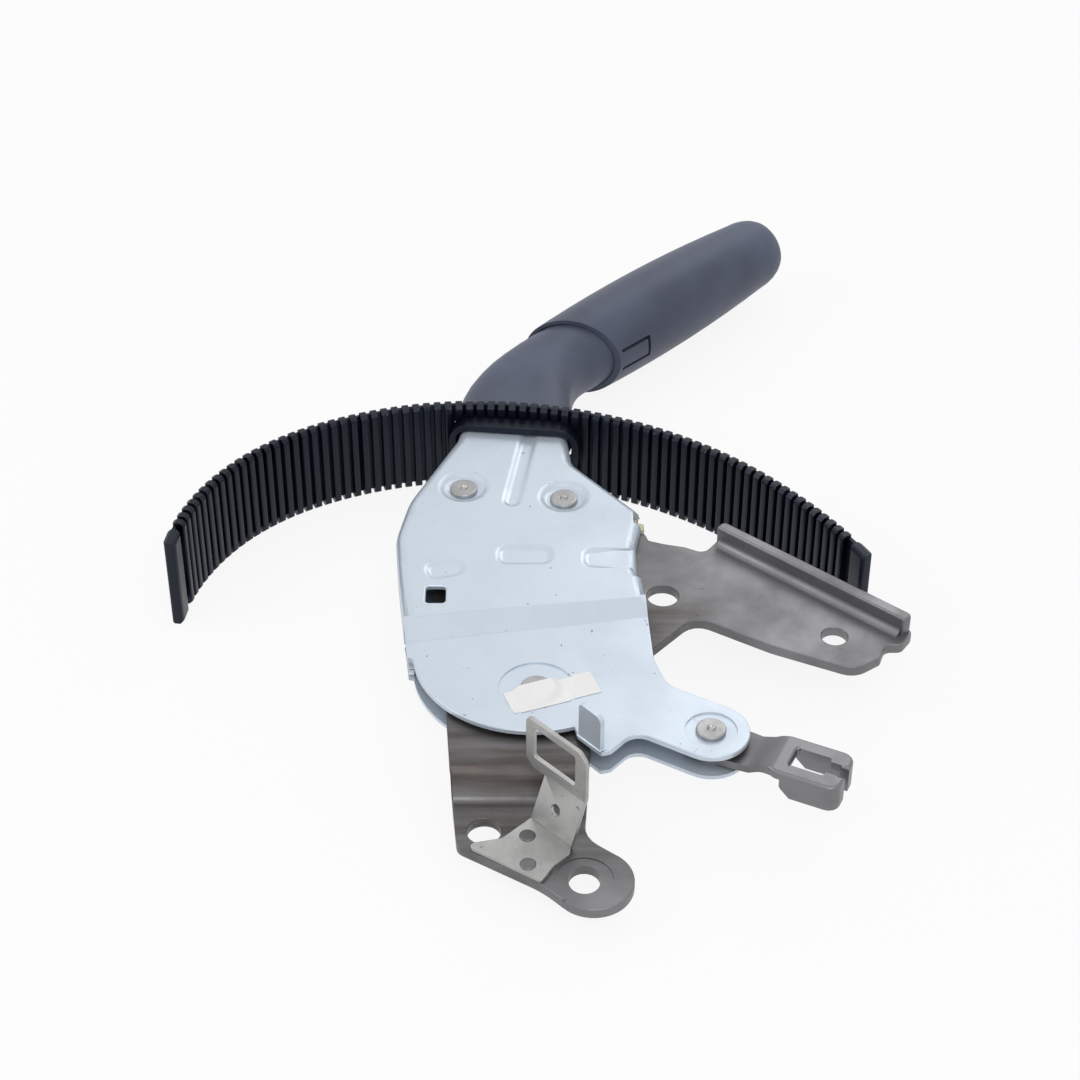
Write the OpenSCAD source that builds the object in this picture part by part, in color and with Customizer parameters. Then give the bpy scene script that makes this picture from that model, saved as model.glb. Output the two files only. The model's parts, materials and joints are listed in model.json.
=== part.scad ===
// Hand-operated parking brake lever, lying on its side: a ratchet lever made of two pressed
// shells on a bolted steel bracket, with a release button in the grip, a cable link on the
// lever's ear and a flexible ribbed cover that closes the slot in the console.
// The origin is the arm's bolt hole, halfway through the plate, and +Z is the hole's axis.

/* [Lever shells] */
// Thickness of the pressed sheet
sheet_t = 1.8; // [1.4:0.1:2.2]
// Clear gap between the two shells round the pivot
pivot_gap = 6.6; // [6.2:0.1:8]
// Clear gap between the two shells in the lever body
body_gap = 12; // [11:0.5:14]
// Outside radius of the folded edges
edge_bend = 4; // [3:0.5:5]
// Radius of the round lower end
disc_r = 40.6; // [39:0.2:42]
// Distance from the pivot to the rivet of the cable link
link_arm = 60.4; // [58:0.2:63]
// Radius of the ear round that rivet
ear_r = 12.8; // [11:0.2:14]
// Height of the switch striker above the shell
striker_h = 14; // [10:0.5:16]
// Depth of the round dishes that the body rivets sit in
dish_depth = 2; // [1.5:0.1:2.5]
// Radius of those dishes at the shell's surface
dish_r = 9; // [8:0.2:10]
// Depth of the pressed stiffening beads
bead_depth = 0.9; // [0.5:0.1:1.1]

/* [Rivets and bearings] */
// Diameter of the pivot rivet
pivot_d = 8; // [7:0.2:9]
// Diameter of the pivot rivet's heads
pivot_head_d = 11; // [10.5:0.1:13]
// Wall of the pivot bush
bush_wall = 2; // [1.5:0.1:3]
// Diameter of the body rivets and the link rivet
rivet_d = 6; // [5:0.2:6.4]
// Diameter of their heads
rivet_head_d = 10; // [9:0.1:11]
// Height of every rivet head
head_h = 1.6; // [1.2:0.1:2]
// Outside diameter of the sleeves between the shells
sleeve_d = 10; // [9:0.1:10.4]
// Radial clearance of everything that turns on a pin
running = 0.05; // [0.03:0.01:0.08]

/* [Bracket] */
// Thickness of the bracket plate
plate_t = 4; // [3:0.1:4.4]
// How far the foot is stepped down
foot_drop = 10; // [8:0.5:12]
// Height of the turned-up edge of the arm above the plate
flange_h = 7; // [5:0.5:9]
// Diameter of the bolt hole at the end of the arm
arm_hole_d = 9; // [8:0.1:10]
// Diameter of the locating hole beside the lever
inner_hole_d = 11; // [9:0.1:11.4]
// Diameter of the hole in the foot
foot_hole_d = 11; // [9:0.1:11.4]
// Width of the slotted hole in the foot
slot_w = 10; // [8:0.1:10.5]
// Length of the slotted hole in the foot
slot_len = 12; // [11:0.1:14]

/* [Ratchet] */
// Tip radius of the teeth on the bracket's rim
rim_r = 92; // [91:0.1:92.3]
// Depth of the teeth
tooth_depth = 3; // [2.4:0.1:3]
// Angle from one tooth to the next
tooth_pitch = 3.5; // [3.2:0.1:3.8]
// Number of clicks from released to fully on
clicks = 10; // [8:1:10]
// Angle by which the pawl is lifted clear of the teeth in this position
pawl_lift = 8.6; // [8.4:0.1:9.4]
// Distance from the pawl's pin to the eye of the release rod
pawl_tail = 16; // [14:0.5:18]

/* [Switch bracket] */
// Sheet thickness
switch_t = 1.5; // [1:0.1:2]
// Width of the window frame
frame_w = 27; // [26:0.5:33]
// Height of the window frame
frame_h = 19.5; // [17:0.5:22]
// Width of the window
window_w = 18.5; // [16:0.5:20]
// Height of the window
window_h = 12.5; // [9:0.5:13]

/* [Slot cover] */
// Width of the ribbed cover
cover_w = 37; // [33:0.5:42]
// Thickness of its back sheet
cover_t = 1.2; // [0.9:0.1:1.6]
// Height of the ribs on the sheet
rib_h = 2.8; // [2:0.1:3.2]
// Distance from rib to rib
rib_pitch = 4.1; // [3.8:0.1:5]
// Width of one rib
rib_w = 2.5; // [2:0.1:2.9]
// Width of the plain bar at each end
end_bar_w = 8; // [6:0.5:10]
// Depth of the collar in front of the ribs
collar_depth = 6.4; // [5:0.2:8]
// Wall of the collar
collar_wall = 2.7; // [2.2:0.1:3.2]

/* [Handle] */
// Length of the grip
grip_len = 118; // [112:1:124]
// Diameter of the grip at its mouth
grip_mouth_d = 34; // [33:0.5:36]
// Diameter of the grip where it is thickest
grip_belly_d = 35.6; // [34:0.2:38]
// Diameter of the grip near its end
grip_end_d = 29.5; // [28:0.5:32]
// Diameter of the hollow inside the grip
grip_bore_d = 24.4; // [24:0.2:25.6]
// Wall of the neck cover
neck_wall = 1.8; // [1.4:0.1:2]
// Length of the shells inside the grip
tang_len = 70; // [60:1:72]
// Width of the shells inside the grip
tang_w = 20; // [18:0.5:20.5]
// Diameter of the release button
button_d = 16; // [14:0.2:17]
// Diameter of the release rod
rod_d = 3; // [2.4:0.1:3.2]
// Wire diameter of the button's spring
spring_wire = 1.3; // [1:0.1:1.6]
// Mean diameter of the button's spring
spring_d = 11; // [9:0.2:12]

/* [Cable link] */
// Sheet thickness of the link
link_t = 3; // [2.4:0.1:3.2]
// Length from its rivet to its end
link_len = 47; // [45:0.5:52]
// Width of its boxed head
link_w = 18.4; // [17:0.2:20]
// Height of its boxed head
link_h = 10; // [8:0.5:12]
// Width of the slit that the cable passes through
cable_slit = 4; // [3:0.1:4.6]

/* [Hidden] */
$fn = 64;
// Plan positions, from the pivot
arm_hole = [102, 30];
inner_hole = [44, 51.5];
foot_hole = [-16.8, -53];
foot_slot = [15, -74];
rear_rivet = [-26.7, 106.2];
pawl_pin = [9.8, rim_r + 8.3];
link_angle = -19.5;
link_pin = link_arm * [cos(link_angle), sin(link_angle)];
disc_centre = [-1.5, 20];
// Heights, from the middle of the lever
plate_top = plate_t / 2;
pivot_half = pivot_gap / 2;
body_half = body_gap / 2;
shell_top = body_half + sheet_t;
seam = 0.2;
least_r = 0.5;
clear = 0.3;
lap = 0.4;
rivet_play = 0.1;
// The shells step outwards along a slanting line
joggle_angle = 8;
joggle_low = 32.4;
joggle_high = 39.3;
// Grip axis: a point at the grip's mouth and its direction
grip_mouth = [13.5, 200];
grip_angle = 45;
grip_dir = [cos(grip_angle), sin(grip_angle)];
grip_side = [sin(grip_angle), -cos(grip_angle)];
socket_depth = 14;
socket_r = grip_mouth_d / 2 - 1.8;
// Top of the slot cover's path over the neck, and the arcs [radius, angle] that leave it
crown = [-9, 147.8];
crown_heading = -6;
cover_right = [[150, 39], [200, 17]];
cover_left = [[128, 35], [90, 55]];
cover_mid_z = -2.5;
cover_depth = cover_t + rib_h;
// Opening that the neck passes through, across and along the cover
neck_open = [43.6, 16.6];
open_corner = 5;
spigot_wall = 1.6;
spigot = neck_open + 2 * spigot_wall * [1, 1];
collar = neck_open + 2 * collar_wall * [1, 1];
// Teeth: the first gullet that the pawl drops into
first_gullet = 74;
spare_teeth = 1;
root_r = rim_r - tooth_depth;

function xy(p) = [p.x, p.y];
function unit(v) = v / norm(v);
function polar(r, a) = r * [cos(a), sin(a)];
function turn(p, a) = [p.x * cos(a) - p.y * sin(a), p.x * sin(a) + p.y * cos(a)];
function spin_about(p, c, a) = c + turn(p - c, a);
function radius_of(c) = len(c) > 2 ? c[2] : 0;

// Arc that rounds the corner b between its neighbours a and c
function corner_arc(a, b, c, r, n) =
    let (u = unit(a - b), v = unit(c - b), half = acos(u * v) / 2)
    let (mid = b + unit(u + v) * r / sin(half))
    let (p = b + u * r / tan(half) - mid, q = b + v * r / tan(half) - mid)
    let (start = atan2(p.y, p.x), sweep = (atan2(q.y, q.x) - start + 540) % 360 - 180)
    [for (k = [0 : n]) mid + polar(r, start + sweep * k / n)];

// Closed outline through corners [x, y, r], each rounded to its radius r
function rounded(c, n = 4) = [
    for (i = [0 : len(c) - 1])
        let (a = xy(c[(i + len(c) - 1) % len(c)]), b = xy(c[i]), d = xy(c[(i + 1) % len(c)]))
        each radius_of(c[i]) == 0 ? [b] : corner_arc(a, b, d, radius_of(c[i]), n)
];

// The same corners moved inwards by d, with their radii adjusted; the outline runs anticlockwise
function inset(c, d) = [
    for (i = [0 : len(c) - 1])
        let (a = xy(c[(i + len(c) - 1) % len(c)]), b = xy(c[i]), e = xy(c[(i + 1) % len(c)]))
        let (s = unit(b - a), t = unit(e - b))
        let (m = [-s.y, s.x], n = [-t.y, t.x], left_turn = s.x * t.y - s.y * t.x > 0)
        let (p = b + d * (m + n) / (1 + m * n))
        [p.x, p.y, max(c[i][2] + (left_turn ? -d : d), least_r)]
];

function ring(c, d, z) = [for (p = rounded(inset(c, d))) [p.x, p.y, z]];

// Closed skin through rings of equally many points; each end cap is a ladder between the
// two halves of its ring
module skin(rings) {
    m = len(rings[0]);
    last = len(rings) - 1;
    top = last * m;
    polyhedron(
        points = [for (r = rings) each r],
        faces = concat(
            [for (j = [0 : m / 2 - 2]) each [[j, j + 1, m - 2 - j], [j, m - 2 - j, m - 1 - j]]],
            [for (j = [0 : m / 2 - 2]) each [
                [top + m - 2 - j, top + j + 1, top + j], [top + m - 1 - j, top + m - 2 - j, top + j]
            ]],
            [for (i = [0 : last - 1], j = [0 : m - 1])
                [i * m + j, (i + 1) * m + j, (i + 1) * m + (j + 1) % m]],
            [for (i = [0 : last - 1], j = [0 : m - 1])
                [i * m + j, (i + 1) * m + (j + 1) % m, i * m + (j + 1) % m]]
        )
    );
}

module at_pivot() {
    translate([-arm_hole.x, -arm_hole.y, 0]) children();
}

module at(p, z = 0) {
    translate([p.x, p.y, z]) children();
}

// Bar with round ends between two plan points
module stadium(a, b, w, h) {
    facing = atan2(b.y - a.y, b.x - a.x);
    linear_extrude(h) polygon([for (k = [0 : 23]) let (t = facing - 90 + 180 * (k % 12) / 11)
        k < 12 ? b + polar(w / 2, t) : a - polar(w / 2, t)]);
}

// Rectangle with rounded corners, centred
module rounded_rect(w, h, r) {
    polygon(rounded([[-w / 2, -h / 2, r], [w / 2, -h / 2, r], [w / 2, h / 2, r], [-w / 2, h / 2, r]]));
}

// Frame on the grip's axis, with +Z running from the mouth to the end
module on_grip(s = 0) {
    translate([grip_mouth.x, grip_mouth.y, 0]) rotate([0, 90, grip_angle]) translate([0, 0, s]) children();
}

// Bracket: one pressed plate with a toothed rim, an arm, a strip and a stepped foot

foot_end_r = 13;
foot_end = [17.8, -74];
strip_left = -28.2;
strip_right = 17;
step_top = -33;
step_run = 6.5;
step_bend = 3;
stop_edge = 85.6;

function rim_points() = [
    for (k = [-spare_teeth : clicks + spare_teeth])
        let (a = first_gullet + k * tooth_pitch)
        each [polar(root_r, a), polar(rim_r, a + 0.8 * tooth_pitch), polar(rim_r, a + 0.98 * tooth_pitch)]
];

module bracket_plan() {
    rim_end = first_gullet + (clicks + spare_teeth + 1) * tooth_pitch;
    polygon(concat(
        [[strip_right, step_top], [19, -6], [33, 16], [39, 50], [39, stop_edge], [33, stop_edge]],
        rim_points(),
        [polar(root_r, rim_end), polar(root_r - 12, rim_end + 2), [-36, 40], [-31, 5], [strip_left, step_top]]
    ));
    polygon(rounded([
        [20, 0, 0], [33, 16, 8], [54.5, 40.2, 7], [80, 25, 40], [107.5, 12.6, 8], [116.6, 19, 2],
        [118.9, 25.4, 3], [124.6, 25.4, 3], [129.6, 32.6, 3], [66.8, 84.6, 3], [59.6, 75, 3.5], [53, 78.4, 3],
        [45.5, 80.2, 6], [40, 82.2, 1], [39, stop_edge, 0.8], [33, stop_edge, 0], [20, 40, 0]
    ]));
    polygon(rounded([
        [strip_left, step_top + 1, 0], [-25.4, -59.5, 4], [2, -76.4, 40], [8.4, -83, 0], foot_end,
        [26.4, -64.3, 0], [15.2, -55.6, 10], [strip_right, step_top + 1, 0]
    ]));
    at(foot_end) circle(foot_end_r);
}

// Cross-section of the plate along Y, stepped down to the foot
module bracket_section() {
    slope = atan2(foot_drop, step_run);
    shift = plate_t * tan(slope / 2);
    rotate([90, 0, 90]) translate([0, 0, -60]) linear_extrude(220) polygon(rounded([
        [120, -plate_top], [step_top - shift, -plate_top, step_bend],
        [step_top - step_run - shift, -plate_top - foot_drop, step_bend + plate_t],
        [-120, -plate_top - foot_drop],
        [-120, plate_top - foot_drop], [step_top - step_run, plate_top - foot_drop, step_bend],
        [step_top, plate_top, step_bend + plate_t], [120, plate_top]
    ]));
}

module base_bracket() {
    color("dimgray") at_pivot() difference() {
        union() {
            intersection() {
                translate([0, 0, -plate_top - foot_drop - 1])
                    linear_extrude(plate_t + foot_drop + 2) bracket_plan();
                bracket_section();
            }
            // The arm's upper edge is turned up as a stiffening flange
            translate([0, 0, -plate_top]) linear_extrude(plate_t + flange_h) polygon(rounded([
                [125.2, 30.4, 1], [129.6, 32.6, 2], [66.8, 84.6, 2], [64.1, 81.2, 1]
            ]));
        }
        at([0, 0], -plate_t) cylinder(r = bush_r, h = 2 * plate_t);
        at(arm_hole, -plate_t) cylinder(d = arm_hole_d, h = 2 * plate_t);
        at(inner_hole, -plate_t) cylinder(d = inner_hole_d, h = 2 * plate_t);
        at(foot_hole, -foot_drop - plate_t) cylinder(d = foot_hole_d, h = 2 * plate_t);
        at([0, 0], -foot_drop - plate_t) stadium(
            foot_slot - [0, (slot_len - slot_w) / 2], foot_slot + [0, (slot_len - slot_w) / 2],
            slot_w, 2 * plate_t
        );
        // Washer seat coined round the slot
        at(foot_slot, plate_top - foot_drop - 0.25) cylinder(r = 9.3, h = plate_t);
        for (p = switch_welds) at(p, -foot_drop - plate_t) cylinder(d = weld_d, h = 2 * plate_t);
    }
}

// Switch bracket: a thin angle riveted to the foot, with a leaning web and a window for the switch

switch_welds = [[-2.9, -56.6], [-2.7, -69]];
weld_d = 3.4;
weld_head_d = 5.5;
weld_head_h = 0.5;
bend_start = [-1.8, -48.4];
bend_end = [10.9, -61.5];
web_rise = 17;
web_lean = 6;
frame_left = -8.5;
frame_bottom_bar = 3.9;
frame_left_bar = 3.6;

module switch_bracket() {
    bend_dir = unit(bend_end - bend_start);
    bend_turn = atan2(bend_dir.y, bend_dir.x);
    web_w = norm(bend_end - bend_start);
    base_z = plate_top - foot_drop;
    color("darkgray") at_pivot() difference() {
        union() {
            at([0, 0], base_z) linear_extrude(switch_t) polygon(rounded([
                [-23.4, -60.2, 1.5], [1.6, -76, 1], [3.6, -73, 3], [5.4, -69.6, 3], [10.4, -64.6, 2],
                [bend_end.x, bend_end.y, 0], [bend_start.x, bend_start.y, 0], [-11.2, -57.6, 4]
            ]));
            // Web and frame, seen along the bend line
            translate([bend_start.x, bend_start.y, base_z]) rotate(bend_turn) {
                rotate([90, 0, 90]) linear_extrude(web_w) polygon([
                    [-switch_t, 0.1], [0.6 * switch_t, 0.1], [web_lean + switch_t, web_rise],
                    [web_lean + 0.1, web_rise],
                    [0, switch_t - 0.1], [-switch_t, switch_t - 0.1]
                ]);
                translate([0, web_lean + switch_t, web_rise]) rotate([90, 0, 0]) linear_extrude(switch_t)
                    difference() {
                        polygon(rounded([
                            [frame_left, 2, 2], [frame_left + 3, -1, 1], [0, -1, 0], [0, -0.5, 0],
                            [web_w, -0.5, 0], [frame_left + frame_w, 2, 1],
                            [frame_left + frame_w, frame_h - 3, 2],
                            [frame_left + frame_w - 3, frame_h, 2], [frame_left, frame_h, 2.5]
                        ]));
                        translate([frame_left + frame_left_bar, frame_bottom_bar]) polygon(rounded([
                            [0, 0, 1], [window_w, 0, 1], [window_w, window_h, 1], [0, window_h, 1]
                        ]));
                    }
            }
        }
        for (p = switch_welds) at(p, base_z - 1) cylinder(d = weld_d, h = switch_t + 2);
        translate([bend_start.x, bend_start.y, base_z]) rotate(bend_turn)
            translate([web_w * 0.45, web_lean * 0.5, web_rise * 0.5]) rotate([90, 0, 0])
                cylinder(d = 4, h = 4 * switch_t + web_lean, center = true);
    }
}

module switch_rivets() {
    base_z = plate_top - foot_drop;
    color("gray") at_pivot() for (p = switch_welds) at(p) {
        translate([0, 0, base_z - plate_t]) cylinder(d = weld_d, h = plate_t + switch_t);
        translate([0, 0, base_z + switch_t])
            cylinder(d1 = weld_head_d, d2 = weld_head_d - 1, h = weld_head_h);
    }
}

// Pivot bearing: a bush pressed into the plate and a thrust washer on each side of it

bush_r = pivot_d / 2 + running + bush_wall;
washer_gap = 0.05;

module pivot_bush() {
    len = pivot_gap - 2 * washer_gap;
    color("goldenrod") at_pivot() rotate_extrude() translate([pivot_d / 2 + running, -len / 2])
        square([bush_wall, len]);
}

module pivot_washers() {
    washer_r = 12;
    t = pivot_half - plate_top - washer_gap;
    color("silver") at_pivot() for (side = [0, 1]) mirror([0, 0, side])
        translate([0, 0, plate_top]) difference() {
            cylinder(r = washer_r, h = t);
            translate([0, 0, -1]) cylinder(r = bush_r + clear, h = t + 2);
        }
}

// Lever shells: two mirrored pressings, folded at the edges and stepped apart in the body

tang_half = tang_w / 2;
tang_right = grip_mouth + tang_half * grip_side;
tang_left = grip_mouth - tang_half * grip_side;
inner_elbow = 15;
outer_elbow = 36;
// Corners of the boxed part: up the right side from the joggle, then down the left side, in pairs
body_corners = [
    [38.6, 36, 5], [36.9, 56.4, 1], [35.3, 58.2, 1], [35.2, 74, 25], [38.5, 91, 9],
    [13.2, pawl_pin.y + 21.5, 9], [9.9, 150, 12],
    concat(tang_right - inner_elbow * grip_dir, 20), concat(tang_right + tang_len * grip_dir, 5),
    concat(tang_left + tang_len * grip_dir, 5), concat(tang_left - outer_elbow * grip_dir, 25),
    [-27.8, 148, 12], [-30.2, 136, 12], [-46.6, 99, 40], [-50.4, 79, 25], [-49.2, 64, 60], [-47.9, 51.2, 60],
    [-44.7, 24, 5]
];
arm_window = [20, 30, 93];
bend_steps = 3;
bead_w = 10.5;

function pan_rings() =
    let (outer = [for (k = [0 : bend_steps]) let (a = 90 * k / bend_steps)
        ring(body_corners, edge_bend * (1 - cos(a)), shell_top - edge_bend + edge_bend * sin(a))])
    let (inner_bend = edge_bend - sheet_t)
    let (inner = [for (k = [bend_steps : -1 : 0]) let (a = 90 * k / bend_steps)
        ring(body_corners, sheet_t + inner_bend * (1 - cos(a)), shell_top - edge_bend + inner_bend * sin(a))])
    concat(inner, [ring(body_corners, sheet_t, seam)], [ring(body_corners, 0, seam)], outer);

module flat_plan() {
    ear_low = link_pin + polar(ear_r, -120);
    ear_high = link_pin + polar(ear_r, 63);
    at(disc_centre) circle(disc_r);
    at(link_pin) circle(ear_r);
    polygon(rounded([
        [-46.6, 41, 0], [-43.5, 15, 0], [0, 0, 0], [12.5, -18.6, 0], striker_foot, [20.8, -30.6, 1],
        [24, -29.8, 2], [32, -20.6, 6], [ear_low.x, ear_low.y, 0], [ear_high.x, ear_high.y, 0],
        [43.6, 2, 9], [39.6, 14, 20], [37.6, 46, 0]
    ]));
}

striker_foot = [13.4, -22.4];
striker_w = 10.4;
striker_turn = -47.5;

// Flat end and joggle as one bent sheet, which ends as a tongue inside the body's sheet
module flat_end() {
    slope = (body_half - pivot_half) / (joggle_high - joggle_low);
    ease = sheet_t * tan(atan(slope) / 2);
    tongue_top = shell_top - lap * slope;
    intersection() {
        linear_extrude(shell_top + 1) flat_plan();
        rotate(joggle_angle) rotate([90, 0, 90]) translate([0, 0, -80]) linear_extrude(180) polygon([
            [-80, pivot_half], [joggle_low, pivot_half], [joggle_high + lap, body_half + lap * slope],
            [joggle_high + lap, tongue_top], [joggle_high - ease - lap, tongue_top],
            [joggle_low - ease, pivot_half + sheet_t], [-80, pivot_half + sheet_t]
        ]);
    }
}

// Dish pressed round a body rivet: what it adds below the sheet, and what it takes away above
module dish_form(grow, z0) {
    floor_r = rivet_head_d / 2 + 1;
    rotate_extrude() polygon([
        [0, z0], [floor_r + grow, z0], [dish_r + grow, z0 + dish_depth],
        [dish_r + grow, shell_top + (1 - grow)], [0, shell_top + (1 - grow)]
    ]);
}

module shell_half() {
    floor_z = body_half - dish_depth;
    difference() {
        union() {
            difference() {
                skin(pan_rings());
                rotate(joggle_angle) translate([-100, joggle_high - lap - 200, -1]) cube([200, 200, 20]);
                // The bracket's arm passes out of the box on this side
                translate([arm_window[0], arm_window[1], -1])
                    cube([30, arm_window[2] - arm_window[1], shell_top - edge_bend + 1]);
            }
            flat_end();
            // Side wall that carries on past the joggle
            translate([0, 0, seam]) linear_extrude(pivot_half + sheet_t / 2 - seam)
                polygon([[-46.7, 44], [-43.3, 15], [-41.5, 15], [-44.9, 44]]);
            for (p = [rear_rivet, pawl_pin]) at(p) dish_form(0.99, floor_z);
        }
        for (p = [rear_rivet, pawl_pin]) at(p) {
            dish_form(0, floor_z + sheet_t);
            cylinder(r = rivet_d / 2 + rivet_play, h = 20);
        }
        // The release rod passes through the tip
        on_grip(tang_len - 8) cylinder(d = rod_d + 4 * clear, h = 16);
        cylinder(r = pivot_d / 2 + rivet_play, h = 20);
        translate([0, 0, pivot_half + sheet_t - 0.5]) cylinder(r = 13, h = 10);
        at(link_pin) cylinder(r = rivet_d / 2 + rivet_play, h = 20);
        at(link_pin, pivot_half + sheet_t - 0.6) cylinder(r = rivet_head_d / 2 + 3.7, h = 10);
        // Pressed beads across the body and up the neck
        translate([0, 0, shell_top - bead_depth]) {
            at([-32.2, 59.3]) rotate(15) linear_extrude(5) rounded_rect(14, bead_w - 1, 4);
            at([-4.2, 67]) linear_extrude(5) rounded_rect(20, bead_w, 4);
            at([38, 65.3]) linear_extrude(5) rounded_rect(44, bead_w, 4);
            stadium([-9, 98], [-2.8, 138], 6.8, 5);
        }
        // Rectangular drain hole
        translate([-35, 45.5, 0]) linear_extrude(20) rounded_rect(6.9, 9, 1.2);
    }
}

module upper_shell() {
    color("lightsteelblue") at_pivot() {
        difference() {
            shell_half();
            // Notch that shows the stop buffer
            translate([34.6, 85.4, -1]) cube([10, 6.4, 20]);
        }
        // Striker of the warning switch, bent up from the edge
        at(striker_foot, pivot_half + lap) rotate(striker_turn) {
            rotate([90, 0, 0]) translate([0, 0, -sheet_t - 0.1]) linear_extrude(sheet_t) polygon(rounded([
                [0.2, 0, 0], [striker_w, 0, 0], [striker_w, sheet_t + striker_h - lap, 2.5],
                [0.2, sheet_t + striker_h - lap, 1.5]
            ]));
        }
    }
}

module lower_shell() {
    color("lightsteelblue") at_pivot() mirror([0, 0, 1]) shell_half();
}

// Rivet with a shank between two levels and a flat, chamfered head at each end
module rivet(d, head_d, low, high, dimple) {
    edge = 0.4;
    difference() {
        rotate_extrude() polygon([
            [0, low - head_h], [head_d / 2 - edge, low - head_h], [head_d / 2, low - head_h + edge],
            [head_d / 2, low], [d / 2, low], [d / 2, high], [head_d / 2, high],
            [head_d / 2, high + head_h - edge], [head_d / 2 - edge, high + head_h], [0, high + head_h]
        ]);
        translate([0, 0, high + head_h - 0.8]) cylinder(d1 = dimple * 0.5, d2 = dimple, h = 1);
    }
}

dimple_d = 3.4;

module pivot_rivet() {
    seat = pivot_half + sheet_t - 0.5;
    color("slategray") at_pivot() rivet(pivot_d, pivot_head_d, -seat, seat, dimple_d);
}

module neck_rivets() {
    seat = body_half - dish_depth + sheet_t;
    color("slategray") at_pivot() for (p = [rear_rivet, pawl_pin]) at(p)
        rivet(rivet_d, rivet_head_d, -seat, seat, dimple_d);
}

module neck_sleeves() {
    len = body_gap - 2 * dish_depth;
    color("silver") at_pivot() for (p = [rear_rivet, pawl_pin]) at(p)
        rotate_extrude() translate([rivet_d / 2, -len / 2]) square([(sleeve_d - rivet_d) / 2, len]);
}

module link_rivet() {
    seat = pivot_half + sheet_t - 0.6;
    color("slategray") at_pivot() at(link_pin) rivet(rivet_d, rivet_head_d, -seat, seat, dimple_d);
}

module link_washers() {
    t = (pivot_gap - link_t) / 2 - washer_gap;
    color("silver") at_pivot() at(link_pin) for (side = [0, 1]) mirror([0, 0, side])
        translate([0, 0, pivot_half - t]) rotate_extrude() translate([rivet_d / 2, 0]) square([4, t]);
}

// Plastic buffer on the end of the side wall, which meets the bracket when the lever is down
module stop_buffer() {
    half = shell_top - edge_bend - seam;
    low = stop_edge + clear;
    color("khaki") at_pivot() translate([0, 0, -half]) linear_extrude(2 * half) polygon(rounded([
        [33.4, low, 1], [38.6, low, 1], [38.6, low + 3.6, 1], [36.2, low + 4.2, 0.5],
        [36.2, arm_window[2], 0.5], [33.4, arm_window[2], 0.5]
    ]));
}

// Slot cover: a ribbed flexible strip on tangent arcs, with a collar for the neck

function arc_len(a) = a[0] * a[1] * PI / 180;
function total(arcs) = arc_len(arcs[0]) + arc_len(arcs[1]);
// Pose [x, y, heading] at a distance along arcs that turn one way
function walk(p, h, arcs, side, s, i = 0) =
    let (r = arcs[i][0], reach = arc_len(arcs[i]))
    let (used = i < len(arcs) - 1 ? min(s, reach) : s, h2 = h + side * used / r * 180 / PI)
    let (q = p + side * r * [-sin(h), cos(h)] - side * r * [-sin(h2), cos(h2)])
    s > used ? walk(q, h2, arcs, side, s - used, i + 1) : [q.x, q.y, h2];
// Pose on the cover's outer face, measured from the crown, with the heading turned to run rightwards
function cover_pose(s) =
    s >= 0 ? walk(crown, crown_heading, cover_right, -1, s)
    : let (w = walk(crown, crown_heading + 180, cover_left, 1, -s)) [w.x, w.y, w.z - 180];
function cover_point(s, depth) = let (w = cover_pose(s)) [w.x, w.y] + depth * [sin(w.z), -cos(w.z)];

right_end = total(cover_right);
left_end = -total(cover_left);
rib_first = ceil((left_end + end_bar_w) / rib_pitch) + 1;
rib_last = floor((right_end - end_bar_w) / rib_pitch) - 1;
neck_shift = 1.2;
rib_chamfer = 1.4;
rib_over = 1.1;
rib_back = 0.5;

module on_crown(depth) {
    p = cover_point(0, depth);
    translate([p.x, p.y, 0]) rotate([90, 0, crown_heading]) translate([neck_shift, 0, 0]) children();
}

module slot_cover() {
    steps = [for (s = [left_end : rib_pitch : right_end]) s, right_end];
    color("black") at_pivot() difference() {
        translate([0, 0, cover_mid_z]) {
            translate([0, 0, rib_over - cover_w / 2]) linear_extrude(cover_w - 2 * rib_over) polygon(concat(
                [for (s = steps) cover_point(s, 0)],
                [for (i = [len(steps) - 1 : -1 : 0]) cover_point(steps[i], cover_t)]
            ));
            for (i = [rib_first : rib_last]) rib(i * rib_pitch, rib_w);
            rib(left_end + end_bar_w / 2, end_bar_w);
            rib(right_end - end_bar_w / 2, end_bar_w);
        }
        on_crown(cover_depth + 1) translate([0, 0, -cover_depth - 2]) linear_extrude(cover_depth + 3)
            rounded_rect(spigot.x + clear, spigot.y + clear, open_corner);
        // The ribs stop at the collar
        on_crown(cover_depth - clear) linear_extrude(collar_depth)
            rounded_rect(collar.x + 2 * clear, collar.y + 2 * clear, open_corner + collar_wall);
    }
}

// One rib across the sheet, with sloping ends
module rib(s, w) {
    half = cover_w / 2;
    p = cover_pose(s);
    translate([p.x, p.y, 0]) rotate([90, 0, 90 + p.z]) translate([0, 0, -w / 2]) linear_extrude(w) polygon([
        [rib_back, -half + rib_over / 2], [-cover_t / 2, -half], [-cover_t - rib_h / 2, -half],
        [-cover_depth, -half + rib_chamfer], [-cover_depth, half - rib_chamfer], [-cover_t - rib_h / 2, half],
        [-cover_t / 2, half], [rib_back, half - rib_over / 2]
    ]);
}

module slot_collar() {
    color("black") at_pivot() on_crown(cover_depth) difference() {
        union() {
            linear_extrude(collar_depth)
                rounded_rect(collar.x, collar.y, open_corner + collar_wall);
            translate([0, 0, -cover_depth]) linear_extrude(cover_depth + 1)
                rounded_rect(spigot.x, spigot.y, open_corner);
        }
        translate([0, 0, -cover_depth - 1]) linear_extrude(cover_depth + collar_depth + 2)
            rounded_rect(neck_open.x, neck_open.y, open_corner - 1);
    }
}

// Neck cover: a moulded sleeve from the slot cover into the grip's mouth

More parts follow.
